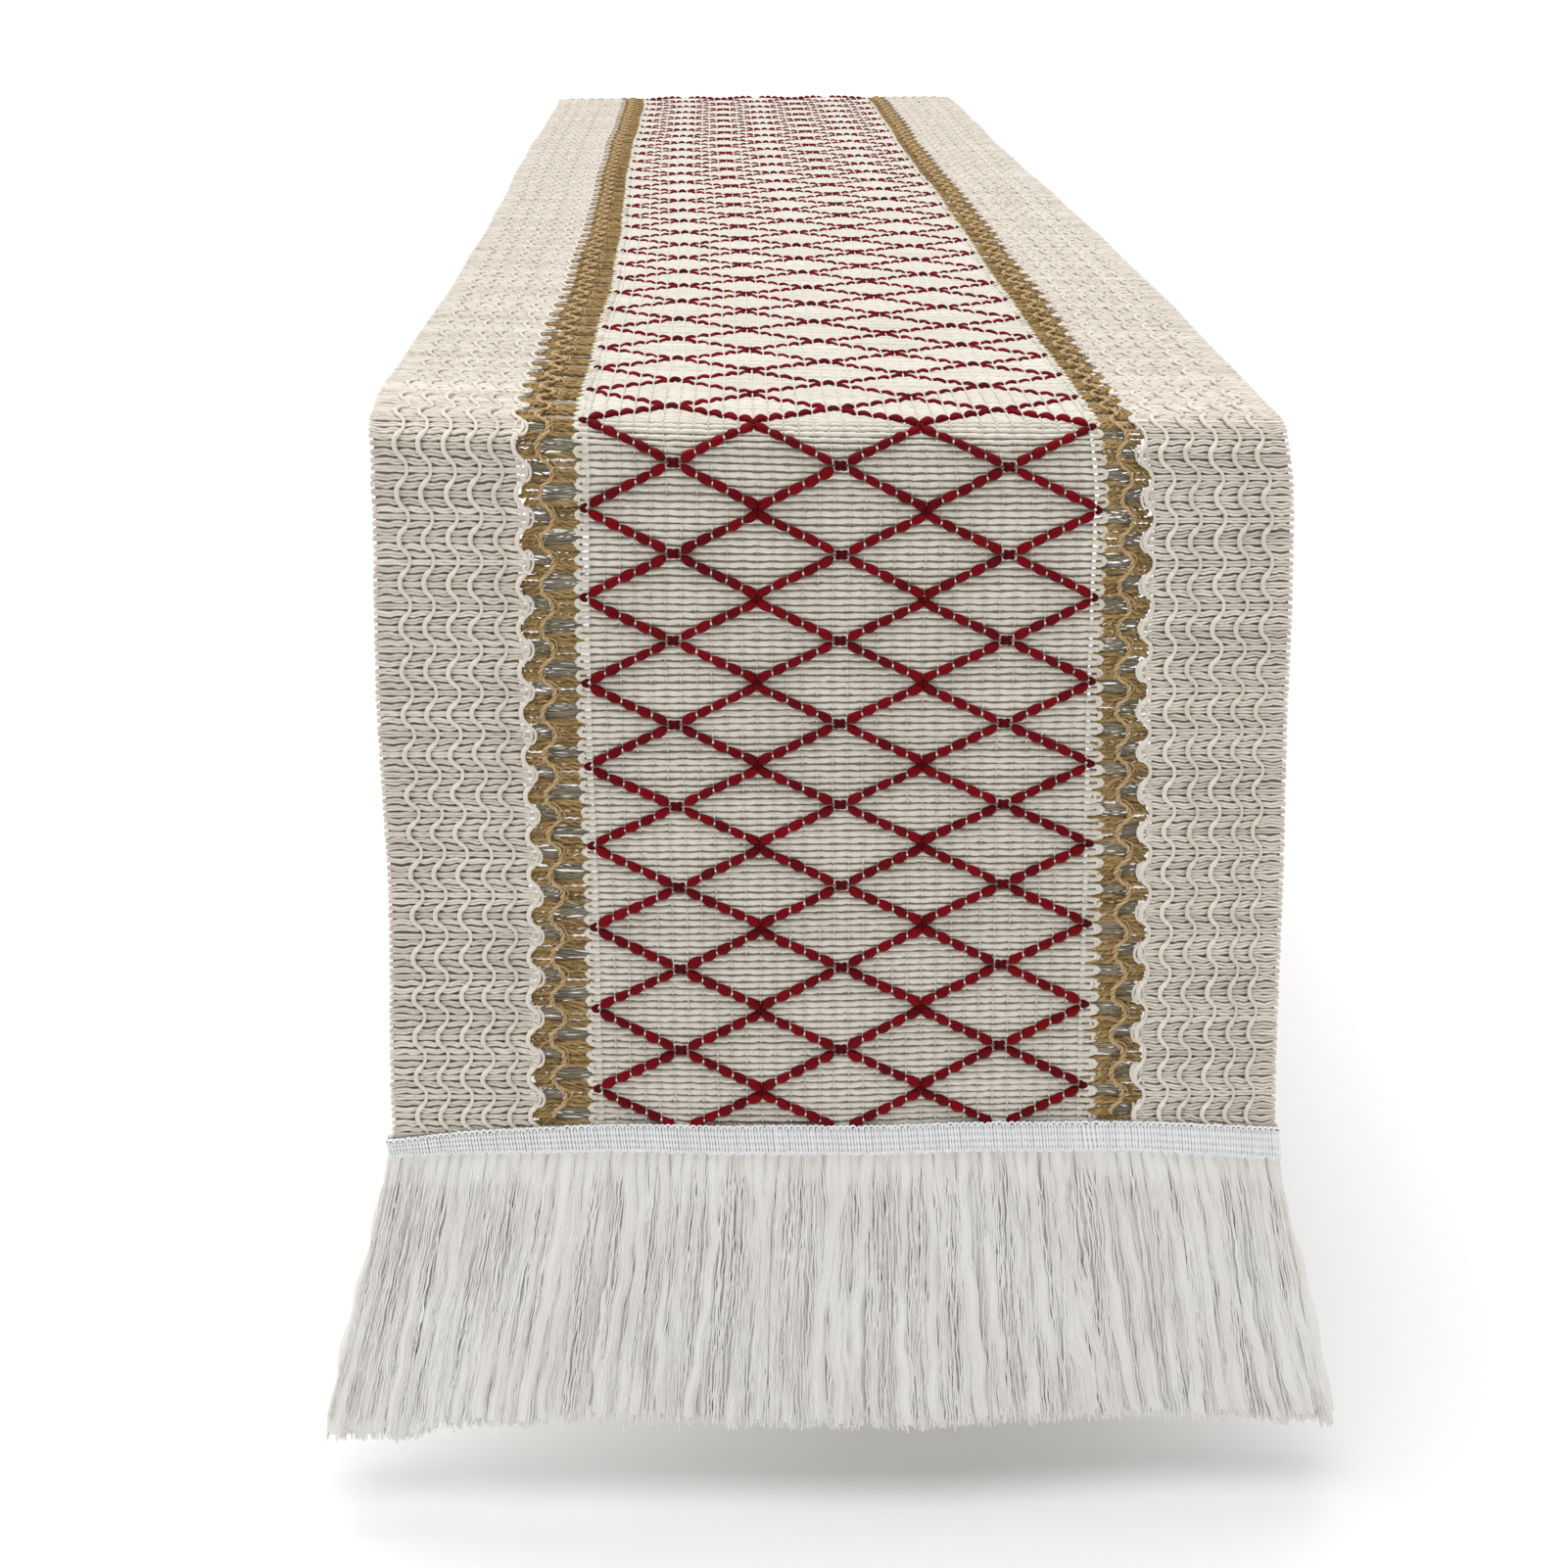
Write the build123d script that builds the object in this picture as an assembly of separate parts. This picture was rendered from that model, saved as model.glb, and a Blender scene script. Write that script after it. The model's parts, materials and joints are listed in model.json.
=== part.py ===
"""Woven and knitted table runner, 300 mm wide and 1600 mm long, lying on a table top with both ends hanging over the edges.

Frame: origin at the middle of the underside of the flat run, on the table plane (z = 0).
+X is to the right across the cloth, +Y runs along the cloth to the rear end, +Z is up.
The front end hangs at -Y. All lengths are in millimetres.
"""
from build123d import *
import math
import os

os.makedirs("parts", exist_ok=True)

# ---- driving dimensions -------------------------------------------------
CLOTH_W = 300.0        # finished width of the cloth
RUN_L = 838.0          # flat length lying on the table, between the two edge folds
CLOTH_T = 4.0          # thickness of the knitted ground
JUTE_T = 3.4           # thickness of the open jute bands
PROUD = 1.2            # how far cords and raised chains stand above the ground
EDGE_R = 5.0           # radius of the table edge that the cloth folds over
HANG_OUT = 5.0         # degrees that the hanging end stands off the vertical
GAP = 0.3              # clearance between parts that move against each other

SIDE_L_W = 51.0        # left side band
JUTE_W = 14.6          # each jute band
CENTRE_W = 170.9       # ribbed centre panel
SIDE_R_W = CLOTH_W - SIDE_L_W - 2 * JUTE_W - CENTRE_W

DIAMOND_L = 29.7       # length of one diamond of the lattice
ROW = DIAMOND_L / 12   # pitch of the weft rows
LATTICE_X0 = -80.2     # left corner column of the lattice
COLUMN = 27.2          # spacing of the lattice corner columns
DIAMOND_S0 = 421.6     # run position of one row of diamond corners
CORD_HALF = 2.0        # half width of a lattice cord, measured across the cloth

CHAIN_PITCH = 7.73     # spacing of the raised chains in a side band
CHAIN_WAVE = 6 * ROW   # length of one wave of a chain
CHAIN_AMP = 1.6        # sideways swing of a chain
CHAIN_HALF = 0.9       # half width of a chain
CHAIN_S0 = 432.6       # run position where the chains are furthest left
CHAIN_L_X = -139.9     # outermost chain of the left band
CHAIN_R_X = 102.0      # innermost chain of the right band

DROP_L = 237.5         # hanging cloth, from the fold to the header tape
TAPE_H = 10.5          # height of the header tape
TAPE_T = 4.6           # thickness of the header tape
TAPE_W = 303.0         # the tape is a little wider than the cloth
STITCH_PITCH = 5.0
STITCH_L = 3.0

TOTAL_L = 1600.0       # cut length of the runner, fringes included
TUFTS = 24             # tufts in one fringe
TUFT_T = 5.0           # thickness of the fringe
FRINGE_TOP_W = 303.0
FRINGE_END_W = 366.0   # the fringe spreads towards its cut ends

# ---- derived -------------------------------------------------------------
HALF = RUN_L / 2
RO = EDGE_R + CLOTH_T
FOLD_A = math.radians(90.0 - HANG_OUT)
ARC = RO * FOLD_A
SWING_R = TUFT_T / 2
SWING_T = DROP_L + TAPE_H + SWING_R + GAP      # hinge line of the fringe, down the drop
TUFT_MAX = TOTAL_L / 2 - HALF - ARC - SWING_T  # longest tuft, below its hinge line

X_SIDE_L = (-CLOTH_W / 2, -CLOTH_W / 2 + SIDE_L_W)
X_JUTE_L = (X_SIDE_L[1], X_SIDE_L[1] + JUTE_W)
X_CENTRE = (X_JUTE_L[1], X_JUTE_L[1] + CENTRE_W)
X_JUTE_R = (X_CENTRE[1], X_CENTRE[1] + JUTE_W)
X_SIDE_R = (X_JUTE_R[1], CLOTH_W / 2)

a = math.radians(HANG_OUT)
FRONT = Plane(origin=(0, -HALF, -EDGE_R), x_dir=(1, 0, 0), z_dir=(0, -math.cos(a), math.sin(a)))
REAR = Plane(origin=(0, HALF, -EDGE_R), x_dir=(1, 0, 0), z_dir=(0, math.cos(a), math.sin(a)))
TOP = Plane.XY


def save(name, shapes):
    shapes = [s for s in shapes]
    body = shapes[0] if len(shapes) == 1 else Compound(children=shapes)
    export_step(body, "parts/" + name + ".step")


def prism(points, plane, h0, h1):
    """A prism on a plane: points are (x, y) on it, and it stands from h0 to h1 above it."""
    wire = Wire.make_polygon([plane.from_local_coords(Vector(x, y, h0)) for x, y in points], close=True)
    return Solid.extrude(Face(wire), plane.z_dir * (h1 - h0))


def slab(x0, x1, s0, s1, where, h0, h1):
    """A rectangular strip of cloth, from s0 to s1 along the run or down a drop."""
    return prism(track([(x0, s0), (x1, s0), (x1, s1), (x0, s1)], where), *level(where, h0, h1))


def track(points, where):
    if where == "front":
        return [(x, -s) for x, s in points]
    if where == "rear":
        return [(x, s) for x, s in points]
    return [(x, -s) for x, s in points]


def level(where, h0, h1):
    if where == "front":
        return FRONT, EDGE_R + h0, EDGE_R + h1
    if where == "rear":
        return REAR, EDGE_R + h0, EDGE_R + h1
    return TOP, h0, h1


def run_position(where, s):
    """Position along the whole cloth, measured on its outer face from the middle of the run."""
    if where == "front":
        return HALF + ARC + s
    if where == "rear":
        return -(HALF + ARC + s)
    return s


def cord_x(k, u):
    """Centre line of lattice cord k at run position u: it zigzags between two corner columns."""
    f = ((u - DIAMOND_S0) / DIAMOND_L) % 1.0
    tri = 2 * f if f < 0.5 else 2 - 2 * f
    if k % 2:
        tri = 1 - tri
    lo = LATTICE_X0 + k * COLUMN + CORD_HALF + 0.15
    hi = LATTICE_X0 + (k + 1) * COLUMN - CORD_HALF - 0.15
    return lo + (hi - lo) * tri


def chain_x(x, u):
    return x - CHAIN_AMP * math.cos(2 * math.pi * (u - CHAIN_S0) / CHAIN_WAVE)


def stations(where, s0, s1, first, step):
    """Positions s along one stretch: its ends and every place where a path turns."""
    u0, u1 = run_position(where, s0), run_position(where, s1)
    lo, hi = min(u0, u1), max(u0, u1)
    n = math.ceil((lo - first) / step)
    inner = []
    while first + n * step < hi:
        u = first + n * step
        if u - lo > 0.4 and hi - u > 0.4:
            inner.append(u)
        n += 1
    us = [lo] + inner + [hi]
    if where == "front":
        ss = [u - HALF - ARC for u in us]
    elif where == "rear":
        ss = [-u - HALF - ARC for u in us]
    else:
        ss = us
    return list(zip(ss, us))


def ribbon(where, path, half, st, h0, h1):
    left = [(path(u) - half, s) for s, u in st]
    right = [(path(u) + half, s) for s, u in st]
    return prism(track(left + right[::-1], where), *level(where, h0, h1))


def fold_sector(side, x0, x1, r0, r1, a0=0.0, a1=FOLD_A):
    """The stretch of cloth that is bent over a table edge, as a part of a ring."""
    sign = -1 if side == "front" else 1

    def p(r, t):
        return Vector(x0, sign * (HALF + r * math.sin(t)), -EDGE_R + r * math.cos(t))

    m = (a0 + a1) / 2
    edges = [
        Edge.make_three_point_arc(p(r1, a0), p(r1, m), p(r1, a1)),
        Edge.make_line(p(r1, a1), p(r0, a1)),
        Edge.make_three_point_arc(p(r0, a1), p(r0, m), p(r0, a0)),
        Edge.make_line(p(r0, a0), p(r1, a0)),
    ]
    return Solid.extrude(Face(Wire(edges)), Vector(x1 - x0, 0, 0))


def folded_ribbon(side, path, half):
    """A cord or chain where it passes over the table edge."""
    sign = -1 if side == "front" else 1
    us = [HALF + ARC * i / 10 for i in range(11)]
    if side == "front":
        pts = [(u, -(HALF + RO * math.sin((u - HALF) / RO))) for u in us]
    else:
        pts = [(-u, (HALF + RO * math.sin((u - HALF) / RO))) for u in us]
    pts[0] = (pts[0][0], sign * HALF)
    pts[-1] = (pts[-1][0], pts[-1][1] + sign * 3)
    outline = [(path(u) - half, y) for u, y in pts] + [(path(u) + half, y) for u, y in pts][::-1]
    cutter = prism(outline, TOP, -20, 20)
    layer = fold_sector(side, -CLOTH_W / 2, CLOTH_W / 2, RO, RO + PROUD)
    return (cutter & layer).solids()[0]


BANDS = {
    "side_band_left": (X_SIDE_L, CLOTH_T),
    "jute_band_left": (X_JUTE_L, JUTE_T),
    "centre_panel": (X_CENTRE, CLOTH_T),
    "jute_band_right": (X_JUTE_R, JUTE_T),
    "side_band_right": (X_SIDE_R, CLOTH_T),
}
CHAINS = {
    "side_chains_left": [CHAIN_L_X + i * CHAIN_PITCH for i in range(6)],
    "side_chains_right": [CHAIN_R_X + i * (CHAIN_PITCH - 0.2) for i in range(6)],
}
JUTE_CHAINS = [sum(X_JUTE_L) / 2, sum(X_JUTE_R) / 2]


def cloth(where, s0, s1, prefix):
    """One stretch of the cloth: five bands, the lattice cords and the raised chains."""
    for band, ((x0, x1), t) in BANDS.items():
        save(prefix + band, [slab(x0, x1, s0, s1, where, 0, t)])
    st = stations(where, s0, s1, DIAMOND_S0, DIAMOND_L / 2)
    cords = [ribbon(where, lambda u, k=k: cord_x(k, u), CORD_HALF, st, CLOTH_T, CLOTH_T + PROUD) for k in range(6)]
    ch = stations(where, s0, s1, CHAIN_S0, CHAIN_WAVE / 2)
    chains = {n: [ribbon(where, lambda u, x=x: chain_x(x, u), CHAIN_HALF, ch, CLOTH_T, CLOTH_T + PROUD) for x in xs]
              for n, xs in CHAINS.items()}
    jute = [ribbon(where, lambda u, x=x: chain_x(x, u), CHAIN_HALF * 1.2, ch, JUTE_T, JUTE_T + PROUD) for x in JUTE_CHAINS]
    if where == "top":
        for side in ("front", "rear"):
            cords += [folded_ribbon(side, lambda u, k=k: cord_x(k, u), CORD_HALF) for k in range(6)]
            for n, xs in CHAINS.items():
                chains[n] += [folded_ribbon(side, lambda u, x=x: chain_x(x, u), CHAIN_HALF) for x in xs]
    save(prefix + "diamond_cords", cords)
    for n in chains:
        save(prefix + n, chains[n])
    save(prefix + "jute_chains", jute)


# the stretch that lies on the table
cloth("top", -HALF, HALF, "top_")
for side in ("front", "rear"):
    save(side + "_edge_fold", [fold_sector(side, x0, x1, EDGE_R, EDGE_R + t) for (x0, x1), t in BANDS.values()])

# the hanging ends
for side in ("front", "rear"):
    plane = FRONT if side == "front" else REAR
    down = -1 if side == "front" else 1
    cloth(side, GAP, DROP_L, side + "_drop_")
    h0 = (CLOTH_T - TAPE_T) / 2
    save(side + "_header_tape", [slab(-TAPE_W / 2, TAPE_W / 2, DROP_L, DROP_L + TAPE_H, side, h0, h0 + TAPE_T)])
    n = int((TAPE_W - 8) / STITCH_PITCH)
    stitches = []
    for i in range(n):
        x = (i - (n - 1) / 2) * STITCH_PITCH
        stitches.append(slab(x - STITCH_L / 2, x + STITCH_L / 2, DROP_L + 2.6, DROP_L + 3.1, side, h0 + TAPE_T, h0 + TAPE_T + 0.35))
    save(side + "_header_stitching", stitches)

    # the fringe hangs straight down from its hinge line under the tape
    axis = plane.from_local_coords(Vector(0, down * SWING_T, EDGE_R + CLOTH_T / 2))
    print(side, "fold hinge", plane.from_local_coords(Vector(0, 0, EDGE_R + CLOTH_T + PROUD)).to_tuple(), "fringe hinge", axis.to_tuple())
    tufts = []
    for i in range(TUFTS):
        u0, u1 = i / TUFTS - 0.5, (i + 1) / TUFTS - 0.5
        top0, top1 = u0 * FRINGE_TOP_W + 0.15, u1 * FRINGE_TOP_W - 0.15
        end0, end1 = u0 * FRINGE_END_W + 0.15, u1 * FRINGE_END_W - 0.15
        length = TUFT_MAX - 5.5 + 5.5 * math.sin(2.4 * i + 0.7) * math.cos(0.9 * i)
        if i in (0, TUFTS - 1):
            length = TUFT_MAX
        y0 = axis.Y - TUFT_T / 2
        wire = Wire.make_polygon(
            [Vector(top0, y0, axis.Z), Vector(top1, y0, axis.Z), Vector(end1, y0, axis.Z - length), Vector(end0, y0, axis.Z - length)],
            close=True,
        )
        hank = Solid.extrude(Face(wire), Vector(0, TUFT_T, 0))
        head = Solid.make_cylinder(SWING_R, top1 - top0, Plane(origin=(top0, axis.Y, axis.Z), x_dir=(0, 1, 0), z_dir=(1, 0, 0)))
        tufts.append((hank + head).solids()[0])
    third = TUFTS // 3
    save(side + "_fringe_left", tufts[:third])
    save(side + "_fringe_middle", tufts[third : 2 * third])
    save(side + "_fringe_right", tufts[2 * third :])

print("longest tuft", round(TUFT_MAX, 2), "fold arc", round(ARC, 2), "right band", SIDE_R_W)
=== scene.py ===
"""Table runner: a yarn-level model of the knitted cloth, draped over both table edges.

All path work is done in millimetres in the cloth's own coordinates:
x across the cloth, u along it (positive towards the front end, 0 in the middle of the flat run,
measured on the outer face), h above the cloth's underside. place() lays that on the drape.
"""
import bpy
import json
import math
import numpy as np
from mathutils import Matrix, Vector

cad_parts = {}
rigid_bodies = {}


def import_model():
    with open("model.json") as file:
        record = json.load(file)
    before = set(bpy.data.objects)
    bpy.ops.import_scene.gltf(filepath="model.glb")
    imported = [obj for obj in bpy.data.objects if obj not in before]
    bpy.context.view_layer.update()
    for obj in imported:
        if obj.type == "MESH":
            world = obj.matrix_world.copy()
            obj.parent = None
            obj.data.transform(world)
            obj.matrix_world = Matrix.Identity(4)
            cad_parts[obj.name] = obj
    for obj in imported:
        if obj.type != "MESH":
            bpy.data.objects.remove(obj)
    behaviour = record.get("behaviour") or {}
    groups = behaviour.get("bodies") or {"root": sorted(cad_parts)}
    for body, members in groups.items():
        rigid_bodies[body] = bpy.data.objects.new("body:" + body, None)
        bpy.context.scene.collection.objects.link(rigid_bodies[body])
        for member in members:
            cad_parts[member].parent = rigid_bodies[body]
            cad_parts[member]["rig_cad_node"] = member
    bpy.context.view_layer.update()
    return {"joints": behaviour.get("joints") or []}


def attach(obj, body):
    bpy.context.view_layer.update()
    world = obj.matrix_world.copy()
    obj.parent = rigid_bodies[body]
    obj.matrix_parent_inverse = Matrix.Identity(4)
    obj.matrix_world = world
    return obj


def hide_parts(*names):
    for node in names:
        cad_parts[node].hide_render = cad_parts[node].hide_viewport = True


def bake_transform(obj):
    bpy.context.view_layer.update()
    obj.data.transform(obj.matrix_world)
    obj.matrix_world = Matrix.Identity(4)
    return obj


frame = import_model()
rng = np.random.default_rng(653)

# ---------------------------------------------------------------- dimensions
HALF = 419.0
T = 4.0
RI = 5.0
RO = RI + T
HANG0 = 5.0
ARC = RO * math.radians(90 - HANG0)
DROP0 = HALF + ARC            # u where the hanging cloth starts
DROP_L = 237.5
TAPE_H = 10.5
U_TAPE = DROP0 + DROP_L
U_END = U_TAPE + TAPE_H

DIAMOND = 29.7
ROW = DIAMOND / 12
U_V = 421.6                   # a row of diamond corners
WALE = 163.2 / 33
WALE0 = -80.2
CHAIN_U = U_V + 10.98         # raised chains furthest left
PERIOD = 6 * ROW

X_SIDE_L = (-150.0, -99.0)
X_JUTE_L = (-99.0, -84.4)
X_CEN = (-84.4, 86.5)
X_JUTE_R = (86.5, 101.1)
X_SIDE_R = (101.1, 150.0)


# ---------------------------------------------------------------- the drape
def build_profile():
    du = 0.25
    n = int(860 / du)
    u = np.arange(n + 1) * du
    y = np.zeros(n + 1)
    z = np.zeros(n + 1)
    ang = np.zeros(n + 1)     # direction below the horizontal, radians
    t = u - DROP0
    bend = np.clip((u - HALF) / ARC, 0, 1)
    ang = bend * math.radians(90 - HANG0)
    # the hanging cloth stands off a little below the fold, then turns to the vertical
    out = 5.0 + 2.2 * np.sin(np.clip(t / 70.0, 0, 1) * math.pi / 2) - 4.6 * np.clip((t - 20) / 300.0, 0, 1)
    ang = np.where(t > 0, np.radians(90 - out), ang)
    step = np.where((u > HALF) & (u <= DROP0), RI / RO, 1.0) * du
    am = (ang[:-1] + ang[1:]) / 2
    y[1:] = np.cumsum(np.cos(am) * step[1:])
    z[1:] = -np.cumsum(np.sin(am) * step[1:])
    return u, y, z, np.sin(ang), np.cos(ang)


PU, PY, PZ, PNY, PNZ = build_profile()


def smooth(a, b, v):
    t = np.clip((v - a) / (b - a), 0, 1)
    return t * t * (3 - 2 * t)


def waviness(x, u):
    """Small unevenness of the lying and hanging cloth, in mm off the drape."""
    au = np.abs(u)
    flat = 0.35 * (1 + np.sin(x / 41.0 + u / 63.0 + 0.7) * np.cos(u / 97.0 - x / 120.0))
    t = np.clip(au - DROP0, 0, None)
    hang = 1.5 * np.sin(x / 52.0 + 1.9 + 0.35 * np.sin(t / 80.0)) * smooth(20, 240, t)
    hang = hang + 0.5 * np.sin(x / 23.0 - t / 60.0) * smooth(20, 120, t)
    return np.where(au < HALF, flat * (1 - smooth(380, 419, au)), hang)


# the knit isn't perfectly even: how far its rows and wales lie from their nominal places, in mm,
# at the left and right columns of the lattice
K_U = [0, 214, 243.4, 273.1, 302.8, 332.5, 362.2, 391.9, 421.6, 451.3, 481.0, 510.7, 540.4, 570.1, 599.8, 629.5, 659.2, 690]
DU_L = [0.0, -7.6, -9.5, -9.2, -7.7, -5.5, -4.7, -4.5, -0.3, 1.5, 1.3, 0.1, -1.4, -3.1, -3.2, -2.6, -1.6, -1.3]
DU_R = [0.0, 9.3, 10.7, 11.9, 11.6, 8.3, 4.9, 3.2, 2.7, 1.9, 1.7, 0.6, -0.3, -1.5, -1.9, -1.4, 0.0, 0.5]
DX_L = [0.0, 3.7, 3.8, 3.4, 3.7, 4.1, 4.5, 4.0, 2.2, -0.0, -0.2, 0.4, 0.5, 0.2, 0.4, 1.1, 1.7, 1.8]
DX_R = [0.0, -2.0, -1.1, -0.2, 0.2, 1.4, 2.3, 2.9, 3.0, 0.9, -0.2, -0.2, -0.2, -0.5, -0.7, -0.7, -0.7, -0.7]


def place(p):
    """Cloth coordinates (..., 3) in mm to world metres."""
    x, u, h = p[..., 0], p[..., 1], p[..., 2]
    au = np.abs(u)
    front = u > 0
    q = np.clip((x + 82.0) / 168.0, -0.4, 1.38)
    us = u + (1 - q) * np.interp(u, K_U, DU_L) + q * np.interp(u, K_U, DU_R)
    inner = np.clip((x + 100.0) / 18.0, 0, 1) * np.clip((106.0 - x) / 20.0, 0, 1)
    dx = ((1 - q) * np.interp(u, K_U, DX_L) + q * np.interp(u, K_U, DX_R)) * inner
    dx = dx + 1.9 * smooth(490, 565, u) * smooth(83.5, 88, x) * (1 - smooth(128, 149, x))
    dx = dx - 1.0 * smooth(425, 450, u) * (1 - smooth(480, 560, u)) * smooth(142, 149, x)
    us = np.abs(us)
    t = np.clip(au - DROP0, 0, None)
    widen = 1 + 0.030 * t / 300.0 + 0.004 * np.sin(t / 33.0) * smooth(5, 60, t)
    drift = np.where(front, 1.3 * smooth(20, 240, t) - 3.6 * smooth(250, 400, au) * (1 - smooth(419, 450, au)), 0.0)
    wander = 0.9 * np.sin(u / 71.0 + 0.4) * (1 - smooth(380, 430, au)) + 0.35 * np.sin(u / 19.0 + 2.0)
    pull = np.interp(au, [320, 360, 400, 419, 432, 446], [0, 1.2, 1.7, 3.2, 2.4, 0])
    X = x * widen + drift + wander + dx + np.where(front, pull * np.clip(-x / 150.0, 0, 1.1), 0.0)
    hh = h + waviness(x, u)
    by = np.interp(us, PU, PY)
    bz = np.interp(us, PU, PZ)
    ny = np.interp(us, PU, PNY)
    nz = np.interp(us, PU, PNZ)
    Y = by + ny * hh
    Z = bz + nz * hh
    # the left corner of the front fold stands a little off the table
    Z = Z + np.where(front, 3.6 * np.clip((30.0 - x) / 180.0, 0, 1) ** 1.2 * smooth(300, 415, au) * (1 - smooth(440, 560, au)), 0.0)
    Y = np.where(front, -Y, Y)
    return np.stack([X, Y, Z], -1) / 1000.0


# ---------------------------------------------------------------- mesh making
PIECES = []


def sweep(P, r, segs=6, flat=1.0, taper=False):
    """Tubes round N paths of M points: P is (N, M, 3), r a number or (N, M) or (M,).
    flat is the height of the section over its width. Returns vertices (N, M, segs, 3)."""
    P = np.asarray(P, float)
    N, M, _ = P.shape
    tan = np.empty_like(P)
    tan[:, 1:-1] = P[:, 2:] - P[:, :-2]
    tan[:, 0] = P[:, 1] - P[:, 0]
    tan[:, -1] = P[:, -1] - P[:, -2]
    tan /= np.maximum(np.linalg.norm(tan, axis=-1, keepdims=True), 1e-9)
    up = np.zeros_like(P)
    up[..., 2] = 1.0
    side = np.cross(tan, up)
    n = np.linalg.norm(side, axis=-1, keepdims=True)
    side = np.where(n > 1e-4, side / np.maximum(n, 1e-9), np.array([1.0, 0, 0]))
    nor = np.cross(side, tan)
    r = np.broadcast_to(np.asarray(r, float), (N, M)).copy()
    if taper:
        r[:, 0] *= 0.05
        r[:, -1] *= 0.05
    a = np.arange(segs) * 2 * math.pi / segs + math.pi / segs
    ca, sa = np.cos(a), np.sin(a)
    V = P[:, :, None, :] + r[:, :, None, None] * (side[:, :, None, :] * ca[None, None, :, None] + flat * nor[:, :, None, :] * sa[None, None, :, None])
    return V


def tube_faces(N, M, segs):
    base = np.arange(N * M * segs).reshape(N, M, segs)
    a = base[:, :-1]
    b = base[:, 1:]
    a2 = np.roll(a, -1, axis=2)
    b2 = np.roll(b, -1, axis=2)
    return np.stack([a, b, b2, a2], -1).reshape(-1, 4)


class Batch:
    """Tubes that share one object."""

    def __init__(self):
        self.v, self.f, self.uv, self.tone, self.n = [], [], [], [], 0

    def add(self, P, r, segs=6, flat=1.0, taper=False, tone=None, world=False):
        P = np.asarray(P, float)
        if P.ndim == 2:
            P = P[None]
        if len(P) == 0:
            return
        V = sweep(P, r, segs, flat, taper)
        N, M = V.shape[:2]
        W = V if world else place(V)
        self.v.append(W.reshape(-1, 3))
        F = tube_faces(N, M, segs)
        if not world:
            F = F[:, ::-1]               # the drape's coordinates are mirrored
        self.f.append(F + self.n)
        self.n += N * M * segs
        along = np.linspace(0, 1, M)
        rows = (np.arange(N) + 0.5) / N
        uv = np.zeros((N, M, segs, 2))
        uv[..., 0] = along[None, :, None]
        uv[..., 1] = rows[:, None, None] + (np.arange(segs) / segs - 0.5)[None, None, :] * 0.6 / N
        self.uv.append(uv.reshape(-1, 2))
        if tone is None:
            tone = rng.random(N)
        tone = np.broadcast_to(np.asarray(tone, float).reshape(N, -1) if np.ndim(tone) else np.full((N, 1), float(tone)), (N, M))
        self.tone.append(np.repeat(tone[:, :, None], segs, 2).reshape(-1))

    def tris(self):
        return 2 * sum(len(f) for f in self.f)


def make_object(name, v, f, mat, uv=None, tone=None, smooth_on=True):
    me = bpy.data.meshes.new(name)
    v = np.ascontiguousarray(v, dtype=np.float32)
    f = np.ascontiguousarray(f, dtype=np.int32)
    k = f.shape[1]
    me.vertices.add(len(v))
    me.vertices.foreach_set("co", v.ravel())
    me.loops.add(f.size)
    me.loops.foreach_set("vertex_index", f.ravel())
    me.polygons.add(len(f))
    me.polygons.foreach_set("loop_start", np.arange(len(f), dtype=np.int32) * k)
    me.update(calc_edges=True)
    if uv is not None:
        layer = me.uv_layers.new(name="OFBake")
        layer.data.foreach_set("uv", np.ascontiguousarray(uv[f.ravel()], dtype=np.float32).ravel())
    if tone is not None:
        at = me.attributes.new("tone", "FLOAT", "POINT")
        at.data.foreach_set("value", np.ascontiguousarray(tone, dtype=np.float32))
    if smooth_on:
        me.polygons.foreach_set("use_smooth", np.ones(len(f), dtype=bool))
    me.validate()
    me.materials.append(mat)
    ob = bpy.data.objects.new(name, me)
    bpy.context.scene.collection.objects.link(ob)
    return ob


LIMIT = 190000


def finish_batch(name, batch, mat, zone, replaces=()):
    """Makes the batch's objects, each under the triangle limit, and puts them on their zone's body where it has one,
    otherwise bakes them in place.
    """
    if not batch.v:
        return []
    made, cur, tri, part = [], [], 0, 0
    groups = []
    for i, f in enumerate(batch.f):
        t = 2 * len(f)
        if cur and tri + t > LIMIT:
            groups.append(cur)
            cur, tri = [], 0
        cur.append(i)
        tri += t
    groups.append(cur)
    starts = np.cumsum([0] + [len(v) for v in batch.v])
    for gi, g in enumerate(groups):
        v = np.concatenate([batch.v[i] for i in g])
        off = starts[g[0]]
        f = np.concatenate([batch.f[i] for i in g]) - off
        uv = np.concatenate([batch.uv[i] for i in g])
        tone = np.concatenate([batch.tone[i] for i in g])
        ob = make_object(name if len(groups) == 1 else "%s_%d" % (name, gi + 1), v, f, mat, uv, tone)
        put(ob, zone)
        made.append(ob)
    if replaces:
        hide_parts(*replaces)
    return made


def put(ob, zone):
    if zone == "mid":
        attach(ob, "tabletop_run")
    elif zone == "front":
        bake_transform(ob)
    elif zone == "rear":
        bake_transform(ob)
    elif zone == "front_hang":
        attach(ob, "front_drop")
    elif zone == "rear_hang":
        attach(ob, "rear_drop")
    elif zone == "front_fringe":
        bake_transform(ob)
    elif zone == "rear_fringe":
        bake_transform(ob)


JOINTS = {j["name"]: j for j in frame["joints"]}
HF = JOINTS["front_fold"]["pos_m"]
HR = JOINTS["rear_fold"]["pos_m"]


# ---------------------------------------------------------------- materials
def nodes_of(name):
    m = bpy.data.materials.new(name)
    m.use_nodes = True
    nt = m.node_tree
    nt.nodes.clear()
    out = nt.nodes.new("ShaderNodeOutputMaterial")
    b = nt.nodes.new("ShaderNodeBsdfPrincipled")
    nt.links.new(b.outputs[0], out.inputs[0])
    return m, nt, b


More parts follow.
